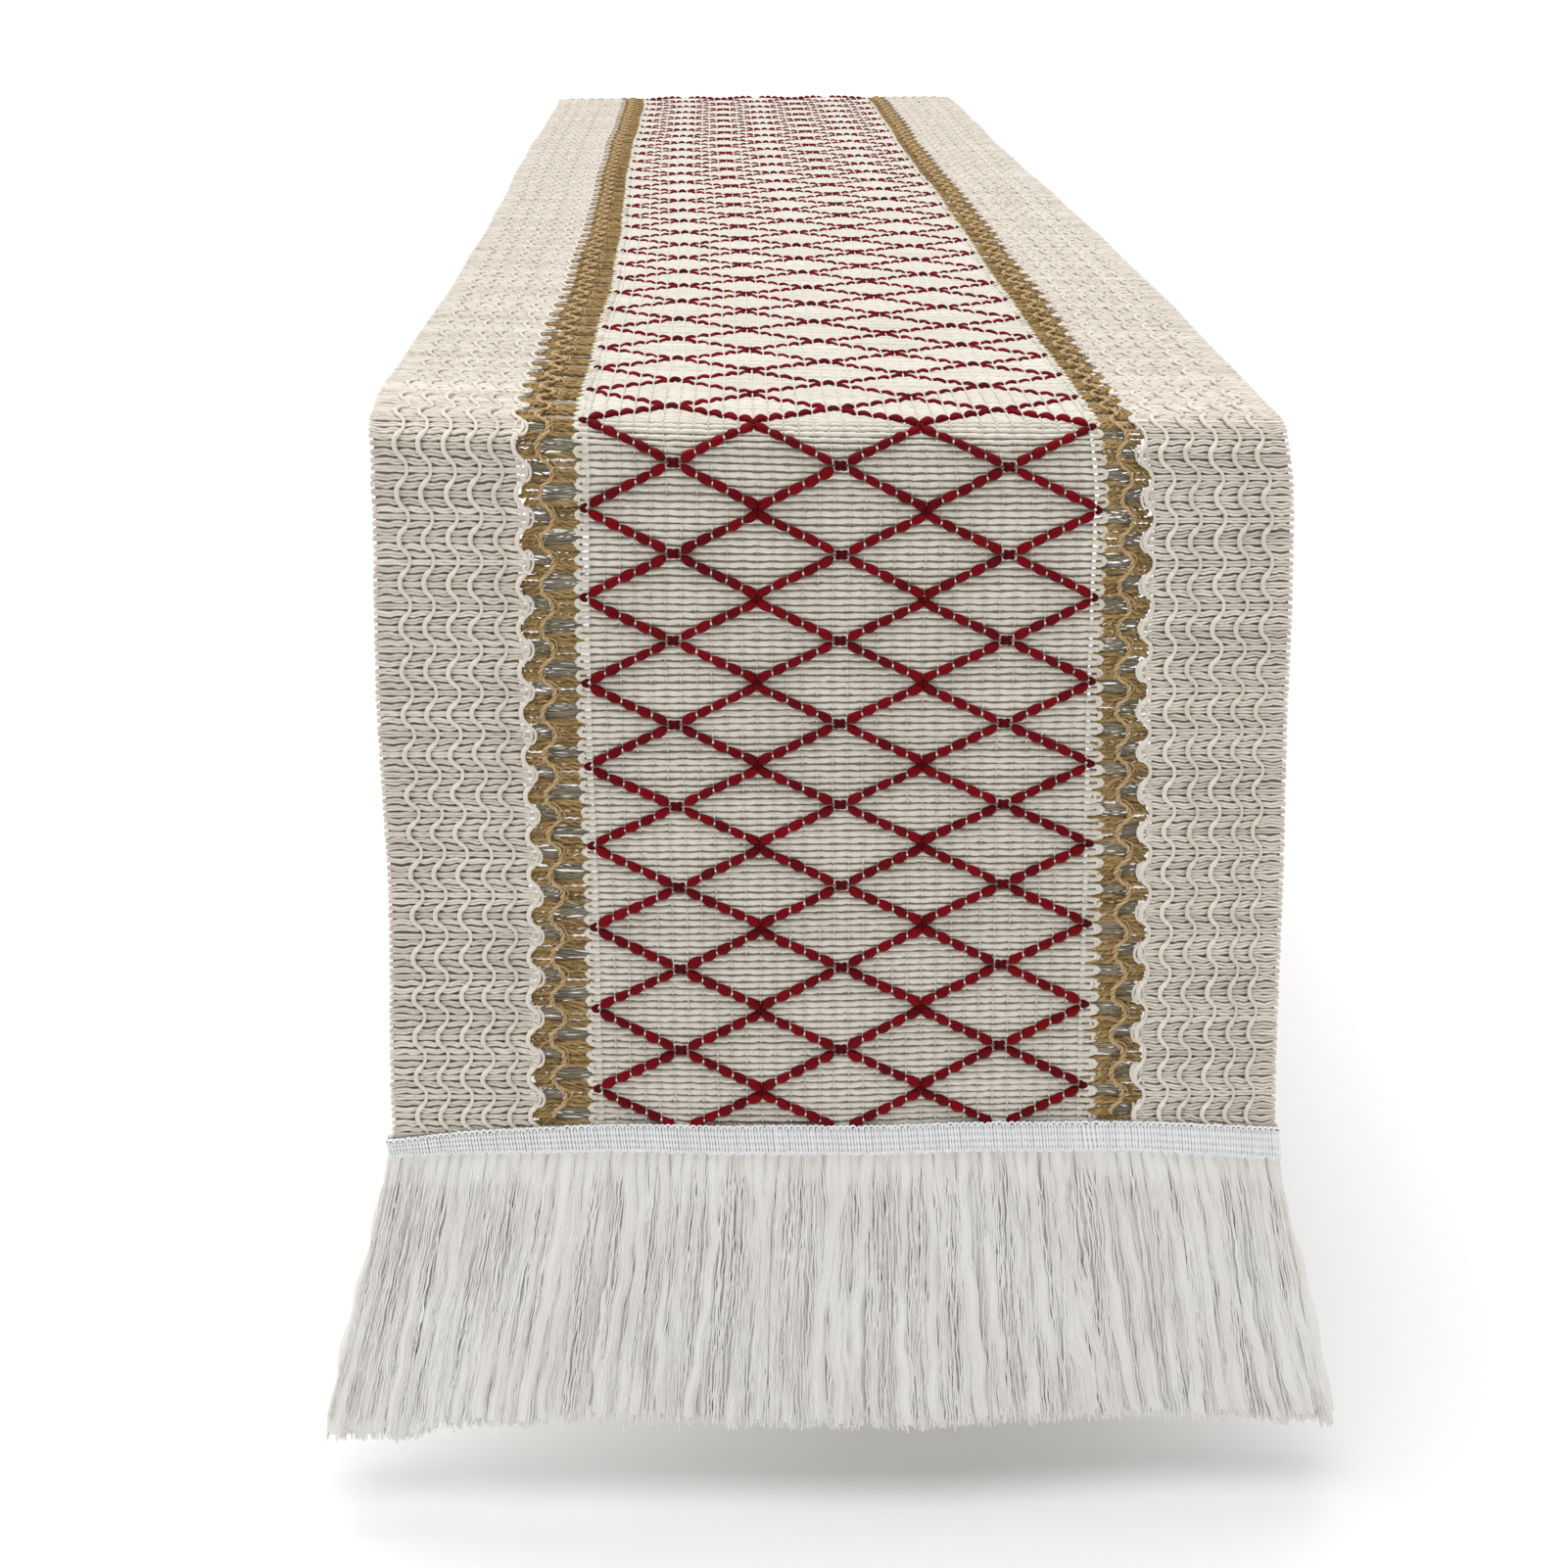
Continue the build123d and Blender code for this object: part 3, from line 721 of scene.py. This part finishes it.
def jute(zone, u0, u1):
    """Jute bands: bundles of hairy two-ply bars on one side of the wavy chain, an open hole on the other, changing over."""
    b = Batch()
    c = Batch()
    fz = Batch()
    hz = Batch()
    rows = ROW_U[(ROW_U >= u0) & (ROW_U < u1)]
    for key in ("l", "r"):
        mid = JUTE_MID[key]
        ea, eb = JUTE_EDGE[key]
        bars, rads, tones = [], [], []
        for u_ in rows:
            ph = ((u_ - CHAIN_U) / PERIOD) % 1.0        # 0 where the chain is furthest left
            wv = chain_wave(np.array([u_]), 1.3)[0]
            for side in (-1, 1):
                # distance, in rows, from the middle of this side's bundle
                q = (ph + (0.0 if side < 0 else 0.5) + 0.5) % 1.0 - 0.5
                dr = q * 6
                if abs(dr) > 1.97:
                    continue
                end = ea if side < 0 else eb
                if (key == "l") == (side < 0):
                    end = (CHAINS_L[-1] + 0.4 if key == "l" else CHAINS_R[0] - 0.4) + 1.75 * wv
                for m_ in range(2):
                    uo = (m_ - 0.5) * 1.22
                    tw = rng.random() * 6.28
                    bow, lift, reach = rng.normal(0, 0.30), rng.normal(0, 0.22), rng.normal(0, 0.6)
                    for ply in range(2):
                        t = np.linspace(0, 1, 12 if zone == "front" else 9)
                        cx = mid + 2.2 * wv - side * 0.3
                        x = cx + (end + reach - cx) * t
                        pull = 1 - 0.10 * abs(dr) / 2 * (1 - np.minimum(1, t * 1.6))
                        u = u_ - dr * ROW * (1 - pull) + uo * (0.7 + 0.3 * t) + 0.36 * np.sin(11.0 * t + ply * math.pi + tw) + bow * np.sin(math.pi * t)
                        h = 2.0 + 0.40 * np.cos(11.0 * t + ply * math.pi + tw) + lift
                        h = h - 0.5 * np.clip((t - 0.8) / 0.2, 0, 1)
                        bars.append(np.stack([x, u, h], -1))
                        rads.append(0.50 + 0.06 * np.sin(t * 9 + tw))
                        tones.append(rng.random())
        if bars:
            bars = np.array(bars)
            b.add(bars, np.array(rads), 5 if zone == "front" else 4, tone=np.array(tones))
            nf = len(bars)
            idx = rng.integers(0, len(bars), nf)
            st = bars[idx, rng.integers(0, 8, nf)]
            d = rng.normal(0, 1, (nf, 3)); d[:, 2] = np.abs(d[:, 2]) * 0.6 + 0.2
            d /= np.linalg.norm(d, axis=1, keepdims=True)
            ln = rng.uniform(0.8, 2.6, nf)[:, None]
            bend = rng.normal(0, 0.5, (nf, 3))
            tt = np.linspace(0, 1, 4)[None, :, None]
            F = st[:, None, :] + d[:, None, :] * ln[:, None, :] * tt + bend[:, None, :] * tt**2
            F[..., 2] = np.clip(F[..., 2], 0.6, 4.6)
            fz.add(F, 0.07, 3, taper=True)
            # fine hairs that cross the holes: real loose fibres, packed dense in grey-brown tones as painted shade of
            # the space seen through the holes
            holes = []
            k0, k1 = int(math.floor((u0 - CHAIN_U) / PERIOD)) - 1, int(math.ceil((u1 - CHAIN_U) / PERIOD)) + 1
            for side in (-1, 1):
                uh = CHAIN_U + (np.arange(k0, k1 + 1) + (0.5 if side < 0 else 0.0)) * PERIOD
                uh = np.repeat(uh[(uh >= u0) & (uh < u1) & (np.abs(uh) < U_TAPE + 4)], 34 if zone == "front" else 16)
                holes.append(np.stack([uh, np.full(len(uh), float(side))], -1))
            holes = np.concatenate(holes)
            nh = len(holes)
            uh = holes[:, 0] + rng.uniform(-4.2, 4.2, nh)
            wv = chain_wave(holes[:, 0], 1.3)
            xa = (mid + 2.0 * wv)[:, None] + 0 * uh[:, None]
            edge = (CHAINS_L[-1] if key == "l" else CHAINS_R[0]) + 1.75 * wv
            xe = np.where(holes[:, 1] < 0, edge if key == "l" else ea, edge if key == "r" else eb)[:, None]
            t5 = np.linspace(0, 1, 5)[None, :]
            Xh = xa + (xe - xa) * t5
            Uh = uh[:, None] + rng.normal(0, 1.5, nh)[:, None] * (t5 - 0.5) + rng.normal(0, 0.7, nh)[:, None] * np.sin(math.pi * t5)
            Hh = rng.uniform(0.7, 1.5, nh)[:, None] + 0 * t5
            hz.add(np.stack([Xh, Uh, Hh], -1), 0.31, 3, tone=0.2 + 0.5 * rng.random(nh))
        uu = np.arange(u0, u1 + 0.01, 0.62)
        uu = uu[np.abs(uu) < U_TAPE + 0.5]
        wob = 0.3 * np.sin(uu / 3.7) + 0.25 * np.sin(uu / 1.9 + 1)
        for ply in range(2):
            ph = 2 * math.pi * uu / 3.9 + ply * math.pi
            X = mid + 2.0 * chain_wave(uu + wob * 0.5, 1.2) + 0.50 * np.cos(ph) + wob * 0.5
            H = 3.25 + 0.38 * np.sin(ph)
            c.add(np.stack([X, uu + 0.1 * np.sin(uu), H], -1), 0.43, 6, tone=0.55 + 0.35 * ply)
        # a third, thinner strand that wanders off the chain in small loose loops
        ph = 2 * math.pi * (uu - CHAIN_U) / (PERIOD / 2) + 0.8
        X = mid + 2.3 * chain_wave(uu, 1.2) + 1.25 * np.cos(ph) + 0.5 * np.sin(ph * 2.3)
        c.add(np.stack([X, uu + 1.5 * np.sin(ph), 2.9 + 0.5 * np.sin(ph * 1.5)], -1), 0.30, 5, tone=0.5)
    finish_batch("jute_bars_" + zone, b, M_JUTE, zone, NODE[zone]("jute_band_left", "jute_band_right"))
    finish_batch("jute_chains_" + zone, c, M_JUTE_L, zone, NODE[zone]("jute_chains"))
    finish_batch("jute_fibres_" + zone, fz, M_JUTE_L, zone)
    finish_batch("jute_haze_" + zone, hz, M_HOLE_SHADE_FIBRES, zone)


def ground(front):
    """The thin mesh of ground threads that the rows sit in: one continuous sheet, open along the jute bands' holes. Its
    tones are darker than the yarns above it, as painted shade for the gaps between the rows.
    """
    sg = 1 if front else -1
    us = np.unique(np.concatenate([np.arange(0, 400, 9.0), np.arange(400, 450, 1.6), np.arange(450, U_TAPE + 7.0, 5.0), [U_TAPE + 8.5]]))
    xs = np.unique(np.concatenate([np.linspace(-149.0, -103.2, 10), np.linspace(-80.4, 83.2, 26), np.linspace(103.6, 149.0, 10)]))
    X, U = np.meshgrid(xs, us * sg)
    H = np.full_like(X, 1.55)
    V = place(np.stack([X, U, H], -1)).reshape(-1, 3)
    nx, nu = len(xs), len(us)
    idx = np.arange(nx * nu).reshape(nu, nx)
    f = np.stack([idx[:-1, :-1], idx[:-1, 1:], idx[1:, 1:], idx[1:, :-1]], -1)
    openx = ((xs[:-1] + xs[1:]) / 2)
    hole = ((openx > -103.0) & (openx < -80.5)) | ((openx > 83.3) & (openx < 103.5))
    f = f[:, ~hole].reshape(-1, 4)
    if sg > 0:
        f = f[:, ::-1]
    uv = np.stack([(X.reshape(-1) + 150) / 300, (np.abs(U.reshape(-1))) / 700], -1)
    ob = make_object("ground_cloth_" + ("front" if front else "rear"), V, f, M_GROUND_SHADE, uv, np.full(len(V), 0.5))
    put(ob, "front" if front else "rear")
    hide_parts("front_edge_fold" if front else "rear_edge_fold")
    return ob


def tape_line(x, front):
    """How far the tape's top and bottom edges lie below their nominal places at x."""
    l = np.clip(-x / 151.0, 0, 1)
    r = np.clip(x / 151.0, 0, 1)
    wave = 0.35 * np.sin(x / 33.0 + 0.6) + 0.15 * np.sin(x / 9.0)
    if not front:
        return wave, wave
    return 2.3 + 6.4 * l**3 + 4.3 * r**3 + wave, 2.2 + 1.7 * l**3 + 5.5 * r**3 + wave


def header(front):
    """White woven tape sewn over the cut cloth: close upright ribs crossed by fine rows, a looped top edge, knots below."""
    sg = 1 if front else -1
    end = "front" if front else "rear"
    hang = end + "_hang"
    n = 288
    x = np.linspace(-151.0, 151.0, n)
    nf = 22
    f = np.linspace(0.02, 0.98, nf)
    hf = 4.35 + 0.20 * np.sin(math.pi * f)
    pins = np.cos(2 * math.pi * 4 * f)
    path_f = np.concatenate([f, [1.0], [0.9, 0.5, 0.1], [0.0]])
    path_h = np.concatenate([hf + 0.10 * pins, [1.9], [0.35, 0.35, 0.35], [1.9]])
    M = len(path_f)
    top, bot = tape_line(x, front)
    P = np.zeros((n, M + 1, 3))
    rr = np.full(M, 0.55)
    rr[:nf] = 0.515 + 0.070 * pins
    P[:, :M, 1] = U_TAPE + top[:, None] + path_f[None] * (TAPE_H - 0.3 + bot - top)[:, None] + jit((n, 1), 0.07)
    P[:, :M, 0] = x[:, None] + 0.9 * (path_f[None] - 0.5) + jit((n, 1), 0.035)
    P[:, :M, 2] = path_h[None] + jit((n, 1), 0.06)
    P[:, M] = P[:, 0]
    P[..., 1] *= sg
    R = np.concatenate([rr, rr[:1]])[None] * (1 + jit((n, 1), 0.04))
    b = Batch()
    b.add(P, R, 5, tone=0.5 + 0.5 * rng.random(n))
    xc = np.linspace(-150.6, 150.6, 61)
    tc, bc = tape_line(xc, front)
    core = np.stack([xc, (U_TAPE + TAPE_H / 2 + (tc + bc) / 2) * sg, np.full(61, 2.4)], -1)
    b.add(core, (TAPE_H - 0.8 + bc - tc)[None] / 2, 12, flat=0.36, taper=True, tone=0.0)
    finish_batch(end + "_tape", b, M_TAPE, hang, [end + "_header_tape"])
    s = Batch()
    loops = []
    for xx in np.arange(-150.2, 150.5, 2.1):
        a = np.linspace(-2.0, 2.0, 9)
        xx = xx + rng.normal(0, 0.12)
        t0, b0 = tape_line(np.array(xx), front)
        loops.append(np.stack([xx + 0.90 * np.sin(a), (U_TAPE + 0.45 - 1.05 * np.cos(a) + t0 + rng.normal(0, 0.10)) * sg + 0 * a, 4.6 + 0.25 * np.cos(a)], -1))
        xk = xx + rng.normal(0, 0.4)
        loops.append(np.stack([xk + 0.6 * np.sin(a), (U_TAPE + TAPE_H - 0.7 + (0.7 + rng.random() * 0.5) * np.cos(a) + b0) * sg + 0 * a, 4.3 + 0.2 * np.cos(a)], -1))
    s.add(np.array(loops), 0.40, 5, taper=True, tone=rng.random(len(loops)))
    finish_batch(end + "_stitching", s, M_THREAD, hang, [end + "_header_stitching"])


def fringe(front):
    """Hanks of fine soft yarn, cut off clean, spreading towards their ends. Each hank is a soft core with its outer yarns."""
    sg = 1 if front else -1
    end = "front" if front else "rear"
    M = 24
    s = np.concatenate([np.linspace(0, 0.990, M - 2), [0.996, 1.0]])
    groups = {"left": [], "middle": [], "right": []}
    cores = {"left": [], "middle": [], "right": []}
    full = U_TAPE + TAPE_H
    for layer, NC, per, core_r in ((0, 62, 8 if front else 4, 3.4), (1, 74, 26 if front else 12, 2.2)):
        edges = np.linspace(-150.8, 150.8, NC + 1)
        lean = np.convolve(rng.normal(0, 2.6, NC + 8), np.ones(9) / 9, "valid")
        for i in range(NC):
            x0 = (edges[i] + edges[i + 1]) / 2 + rng.normal(0, 0.35)
            q = x0 / 151.0
            base_tone = rng.random()
            wide = rng.uniform(0.62, 1.30) if layer else 1.0
            far = 363.8 + DROP0 + 1.6 * math.sin(x0 / 23.0 + 1.0) + (4.8 * float(smooth(0.76, 0.84, -q)) + 0.8 * float(smooth(0.4, 0.7, -q)) - 1.0 * (1 - float(smooth(0.25, 0.6, abs(q)))) + 1.6 * float(smooth(0.6, 0.95, q)) if front else 0) + rng.normal(0, 0.7) - (2.2 if rng.random() < 0.12 else 0)
            t0, b0 = tape_line(np.array(x0), front)
            top = full + float(b0) - 1.6
            a1, p1 = rng.uniform(0.6, 2.0), rng.uniform(0, 6.28)
            a2, p2 = rng.uniform(0.25, 0.75), rng.uniform(0, 6.28)
            lx = (rng.normal(0, 0.9) + lean[i] * 1.3) * (1 - abs(q) ** 3)
            h0 = rng.uniform(2.2, 3.4) if layer else rng.uniform(0.9, 1.5)
            twist = rng.uniform(-1.0, 1.0) * 2.0
            fl = (0.182 if q < 0 else 0.178) if front else 0.165
            ramp = np.clip(s * 7, 0, 1)
            xc = x0 * (1 + fl * s**1.05) + ramp * (a1 * np.sin(s * 5.2 + p1) - a1 * math.sin(p1)) * 0.8 + lx * s
            hc = h0 + 0.5 * np.sin(s * 4 + p2) * s
            g = "left" if x0 < -50.5 else ("right" if x0 > 50.5 else "middle")
            Lc = far - 2.0
            uc = top + (Lc - top) * s
            open_ = 0.80 + 0.22 * s + 0.14 * np.sin(s * 8 + p1)
            rc = core_r * wide * (0.86 + 0.14 * ramp) * open_
            rc[-1] *= 0.3
            cores[g].append((np.stack([xc + ramp * a2 * np.sin(2 * math.pi * uc / 27.0 + p2), uc * sg, hc * (0.65 + 0.35 * ramp) + 0.8 * (1 - ramp)], -1), rc, 0.30 * base_tone + 0.25))
            for j in range(per):
                ang = rng.uniform(0, 6.28) if layer else rng.uniform(0.3, 2.8)
                rad = core_r * wide * rng.uniform(0.90, 1.10)
                th = ang + twist * s
                wl = rng.uniform(6.0, 11.0)
                am = rng.uniform(0.05, 0.20)
                L = far + rng.normal(0, 0.7) - (rng.random() < 0.04) * rng.uniform(1.5, 5)
                u = top + (L - top) * s
                x = xc + ramp * a2 * np.sin(2 * math.pi * u / 27.0 + p2)
                x = x + rad * np.cos(th) * open_ * (0.86 + 0.14 * ramp) + ramp * am * np.sin(2 * math.pi * (u / wl) + ang * 3)
                h = hc + rad * np.sin(th) * open_ * 0.55 + ramp * am * 0.8 * np.cos(2 * math.pi * (u / wl) + ang * 5)
                h = h * (0.65 + 0.35 * ramp) + 0.8 * (1 - ramp)
                if rng.random() < 0.012:
                    x = x + rng.normal(0, 3.0) * s**2
                r = rng.uniform(0.26, 0.36) * np.ones(M)
                r[-1] *= 0.45
                groups[g].append((np.stack([x, u * sg, h], -1), r, 0.45 * base_tone + 0.45 * rng.random() + 0.1))
    # single yarns that lie over the hanks and cross from one to the next
    for i in range(620 if front else 160):
        x0 = rng.uniform(-150.5, 150.5)
        q = x0 / 151.0
        t0, b0 = tape_line(np.array(x0), front)
        top = full + float(b0) - 1.2
        L = 363.0 + DROP0 + rng.normal(0, 1.2) - (rng.random() < 0.1) * rng.uniform(1, 6)
        fl = (0.178 if q < 0 else 0.174) if front else 0.165
        p1, p2, am = rng.uniform(0, 6.28), rng.uniform(0, 6.28), rng.uniform(0.3, 1.5)
        u = top + (L - top) * s
        ramp = np.clip(s * 7, 0, 1)
        x = x0 * (1 + fl * s**1.05) + rng.normal(0, 1.6) * s * (1 - abs(q) ** 3) + ramp * am * (np.sin(s * 6.0 + p1) - math.sin(p1)) * (1 - 0.7 * abs(q) ** 4) + ramp * 0.3 * np.sin(2 * math.pi * u / 14.0 + p2)
        h = (2.2 + 1.9 * ramp + 0.35 * np.sin(s * 9 + p2) * ramp) + rng.normal(0, 0.15)
        r = rng.uniform(0.26, 0.36) * np.ones(M)
        r[-1] *= 0.45
        g = "left" if x0 < -50.5 else ("right" if x0 > 50.5 else "middle")
        groups[g].append((np.stack([x, u * sg, h], -1), r, rng.random()))
    for g in groups:
        b = Batch()
        for items, segs, step, flat in ((cores[g], 8, 200, 0.6), (groups[g], 4, 200, 1.0)):
            P = np.array([k[0] for k in items])
            R = np.array([k[1] for k in items])
            tn = np.array([k[2] for k in items])
            for i in range(0, len(P), step):
                b.add(P[i : i + step], R[i : i + step], segs, flat=flat, tone=tn[i : i + step])
        finish_batch("%s_fringe_yarns_%s" % (end, g), b, M_FRINGE, end + "_fringe", ["%s_fringe_%s" % (end, g)])


# ---------------------------------------------------------------- build
for zone, u0, u1 in zones():
    centre_panel(zone, u0, u1)
    warp_threads(zone, u0, u1)
    cords(zone, u0, u1)
    side_weft(zone, u0, u1)
    chains(zone, u0, u1)
    jute(zone, u0, u1)
for front in (True, False):
    g = ground(front)
    header(front)
    fringe(front)


# ---------------------------------------------------------------- stage, light, camera
def floor():
    m, nt, b = nodes_of("studio_floor")
    b.inputs["Base Color"].default_value = (0.90, 0.90, 0.90, 1)
    b.inputs["Roughness"].default_value = 0.9
    b.inputs["Specular IOR Level"].default_value = 0.1
    me = bpy.data.meshes.new("floor")
    z, w = -0.402, 12.0
    me.from_pydata([(-w, -w, z), (w, -w, z), (w, w, z), (-w, w, z)], [], [(0, 1, 2, 3)])
    me.materials.append(m)
    ob = bpy.data.objects.new("floor", me)
    bpy.context.scene.collection.objects.link(ob)


floor()


world = bpy.data.worlds.new("studio")
bpy.context.scene.world = world
world.use_nodes = True
world.node_tree.nodes["Background"].inputs[0].default_value = (1.0, 1.0, 1.0, 1)
world.node_tree.nodes["Background"].inputs[1].default_value = 0.42
sun_data = bpy.data.lights.new("overhead_softbox", "SUN")
sun_data.energy = 2.7
sun_data.angle = math.radians(50)
sun = bpy.data.objects.new("overhead_softbox", sun_data)
bpy.context.scene.collection.objects.link(sun)
sun.location = (0, 0, 2)
sun.rotation_euler = Vector((0.12, -0.04, -1.0)).to_track_quat("-Z", "Y").to_euler()

cam = bpy.data.cameras.new("camera")
cam.sensor_fit = "HORIZONTAL"
cam.sensor_width = 36.0
cam.lens = 1838.8 / 1601 * 36.0
cam.shift_x = 0.04
cam.shift_y = -0.25
cam.clip_start = 0.01
cam.clip_end = 60
camera = bpy.data.objects.new("camera", cam)
bpy.context.scene.collection.objects.link(camera)
pitch, yaw, roll = math.radians(16.40), math.radians(0.723), math.radians(-0.294)
fwd = Vector((math.sin(yaw) * math.cos(pitch), math.cos(yaw) * math.cos(pitch), -math.sin(pitch)))
right = Vector((math.cos(yaw), -math.sin(yaw), 0))
up = right.cross(fwd)
r2 = right * math.cos(roll) + up * math.sin(roll)
u2 = -right * math.sin(roll) + up * math.cos(roll)
camera.matrix_world = Matrix((
    (r2.x, u2.x, -fwd.x, -0.04396),
    (r2.y, u2.y, -fwd.y, -0.97846),
    (r2.z, u2.z, -fwd.z, 0.17789),
    (0, 0, 0, 1)))
bpy.context.scene.camera = camera
bpy.context.scene.view_settings.view_transform = "Standard"
bpy.context.scene.view_settings.look = "None"
